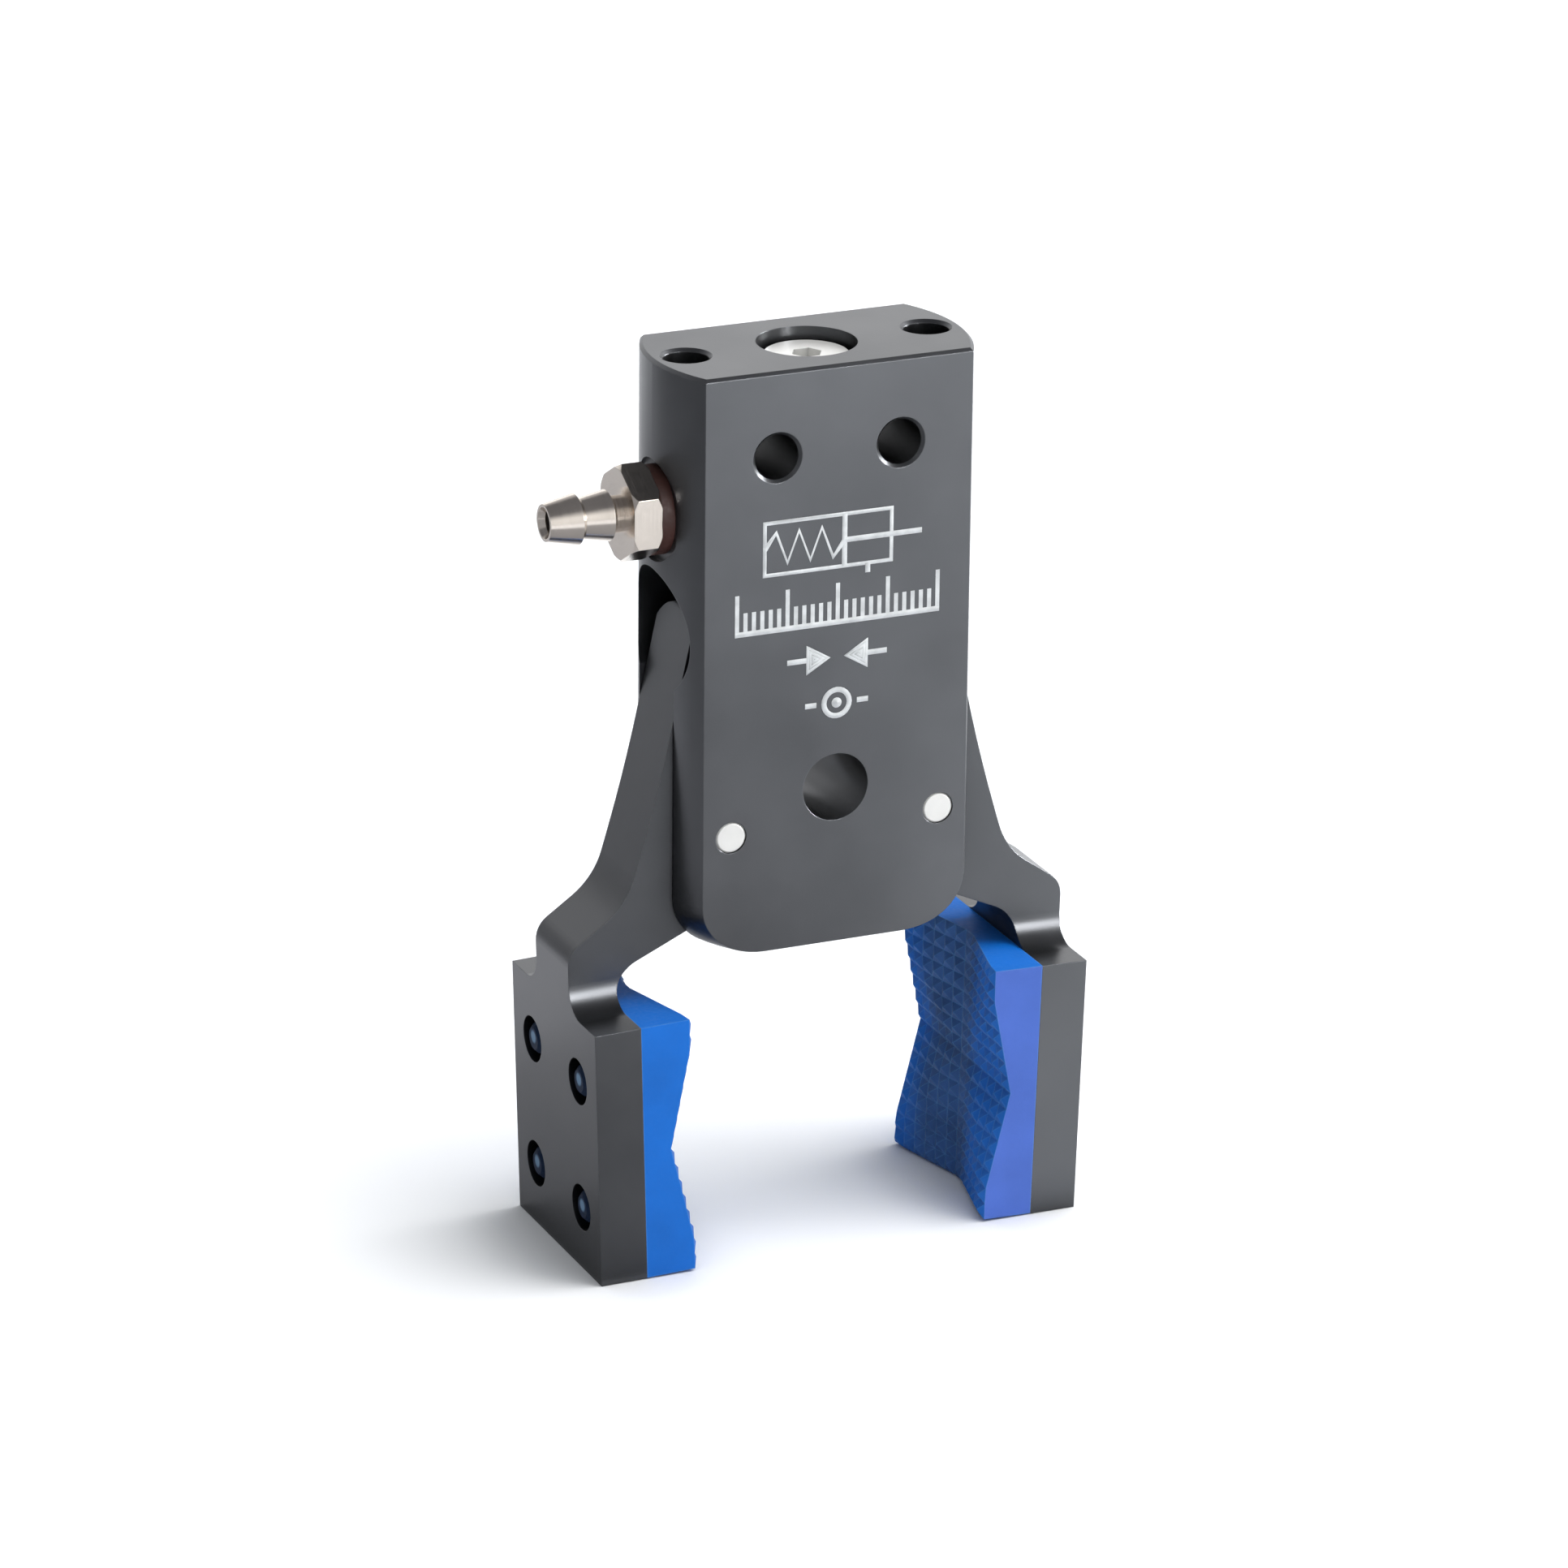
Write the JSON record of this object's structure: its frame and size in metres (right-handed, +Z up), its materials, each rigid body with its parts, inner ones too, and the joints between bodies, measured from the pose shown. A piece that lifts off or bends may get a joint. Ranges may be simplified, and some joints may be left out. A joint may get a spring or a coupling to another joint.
{
  "type": "pneumatic mini gripper",
  "caption": "Small angular gripper: flat-sided round housing, spring-opened fingers driven by side pistons, knurled rubber V pads and a side hose barb.",
  "frame": {"origin": "centre of the flat top mounting face, midway between the two tapped holes in it", "axes": "+Z up, away from the jaws; -Y out of the front flat; +X to the finger on the side away from the hose barb"},
  "size_m": [0.0501, 0.02, 0.0844],
  "materials": {
    "anodised_housing": "dark grey satin anodised, fine milled",
    "anodised_finger": "dark grey satin anodised, fine milled",
    "plated_plug": "turned face, bright plated",
    "black_seal": "black nitrile rubber",
    "nickel_fitting": "warm nickel plating, turned",
    "sealing_washer": "red-brown fibre",
    "steel_pin": "ground dowel end",
    "aluminium_piston": "turned, bare",
    "steel_button": "hardened and polished",
    "spring_wire": "drawn stainless wire",
    "bush_bronze": "sintered bronze",
    "blue_rubber": "moulded blue rubber, small pyramids on the gripping face"
  },
  "bodies": {
    "housing": {"housing": "anodised_housing", "top_port_plug": "plated_plug", "top_plug_seal": "black_seal", "hose_barb": "nickel_fitting", "port_washer": "sealing_washer", "pivot_pin_left": "steel_pin", "pivot_pin_right": "steel_pin", "return_spring_left": "spring_wire", "return_spring_right": "spring_wire"},
    "left_finger": {"finger_left": "anodised_finger", "finger_bush_left": "bush_bronze", "grip_pad_left": "blue_rubber"},
    "right_finger": {"finger_right": "anodised_finger", "finger_bush_right": "bush_bronze", "grip_pad_right": "blue_rubber"},
    "left_piston": {"piston_left": "aluminium_piston", "piston_seal_left": "black_seal", "thrust_button_left": "steel_button"},
    "right_piston": {"piston_right": "aluminium_piston", "piston_seal_right": "black_seal", "thrust_button_right": "steel_button"}
  },
  "joints": [
    {"name": "left_finger_pivot", "type": "hinge", "parent": "housing", "child": "left_finger", "pos_m": [-0.01025, 0, -0.0435], "axis": [0, -1, 0], "range_deg": [0, 10], "stiffness_Nm_per_rad": 0.08, "springref_deg": -17.19, "deforming": ["return_spring_left"]},
    {"name": "right_finger_pivot", "type": "hinge", "parent": "housing", "child": "right_finger", "pos_m": [0.01025, 0, -0.0435], "axis": [0, 1, 0], "range_deg": [0, 10], "stiffness_Nm_per_rad": 0.08, "springref_deg": -17.19, "deforming": ["return_spring_right"]},
    {"name": "left_piston_slide", "type": "slide", "parent": "housing", "child": "left_piston", "axis": [-1, 0, 0], "range_m": [0, 0.0032]},
    {"name": "right_piston_slide", "type": "slide", "parent": "housing", "child": "right_piston", "axis": [1, 0, 0], "range_m": [0, 0.0032]}
  ],
  "couplings": [
    {"joint": "right_finger_pivot", "follows": "left_finger_pivot", "ratio": 1},
    {"joint": "left_piston_slide", "follows": "left_finger_pivot", "m_per_rad": 0.018046},
    {"joint": "right_piston_slide", "follows": "left_finger_pivot", "m_per_rad": 0.018046}
  ]
}
